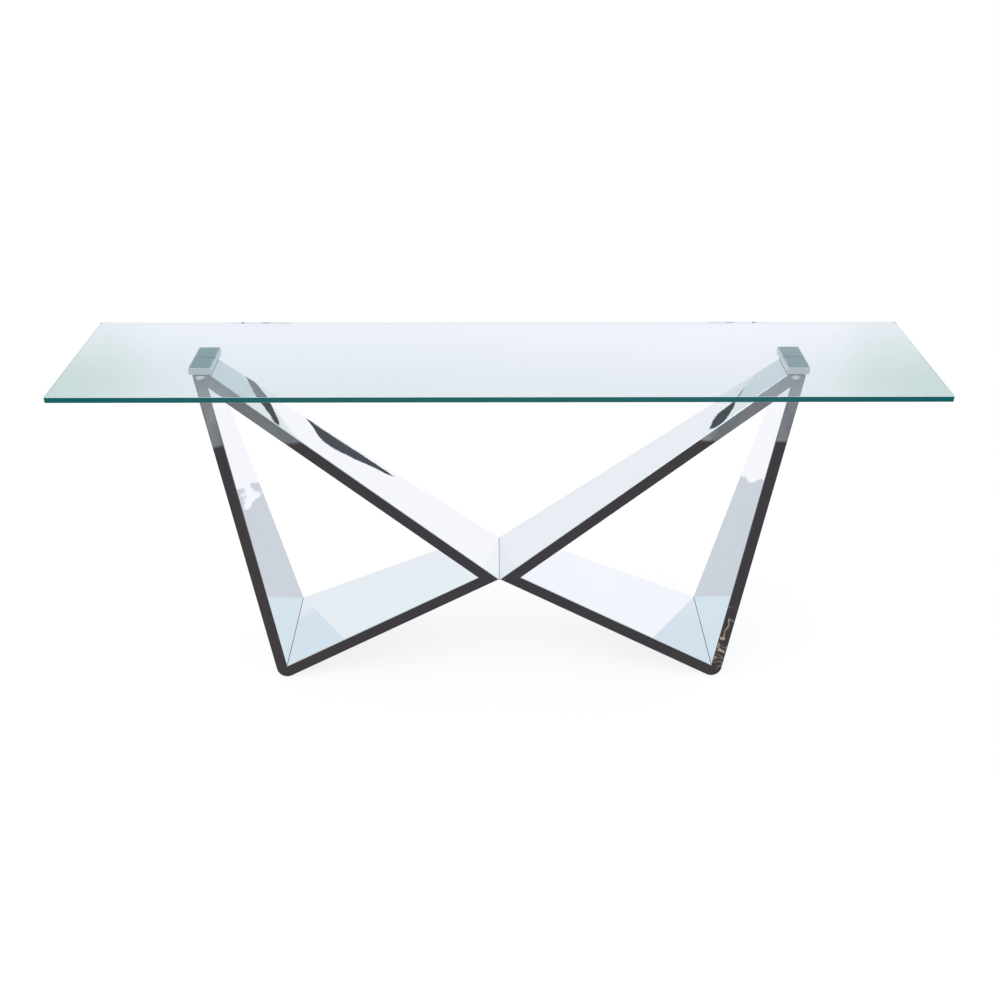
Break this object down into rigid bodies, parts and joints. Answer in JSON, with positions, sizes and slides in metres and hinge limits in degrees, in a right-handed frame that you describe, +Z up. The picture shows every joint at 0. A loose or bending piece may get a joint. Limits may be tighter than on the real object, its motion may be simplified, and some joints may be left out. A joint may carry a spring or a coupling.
{
  "type": "console table",
  "caption": "Long glass console table on two outward-leaning triangular polished steel frames that meet in a central seam.",
  "frame": {"origin": "on the floor under the middle of the glass top", "axes": "+Z up, +X along the table's length, +Y from the front to the back"},
  "size_m": [1.8, 0.4, 0.75],
  "materials": {
    "glass": "clear float glass with polished edges",
    "polished_steel": "mirror-polished stainless steel",
    "screw_steel": "plain stainless steel",
    "dark_plate": "satin steel in shadow under the head block",
    "weld_metal": "ground weld",
    "bond_pad": "clear satin bonding pad, grey-green under the glass",
    "glide_plastic": "translucent satin plastic"
  },
  "bodies": {
    "root": {"glass_top": "glass", "left_front_pad": "bond_pad", "left_back_pad": "bond_pad", "right_front_pad": "bond_pad", "right_back_pad": "bond_pad", "left_head_block": "polished_steel", "right_head_block": "polished_steel", "left_head_screws": "screw_steel", "right_head_screws": "screw_steel", "left_apex_plate": "dark_plate", "right_apex_plate": "dark_plate", "left_upright": "polished_steel", "right_upright": "polished_steel", "left_diagonal": "polished_steel", "right_diagonal": "polished_steel", "left_lower_rail": "polished_steel", "right_lower_rail": "polished_steel", "centre_weld": "weld_metal", "left_front_glide": "glide_plastic", "left_back_glide": "glide_plastic", "right_front_glide": "glide_plastic", "right_back_glide": "glide_plastic"}
  },
  "joints": []
}
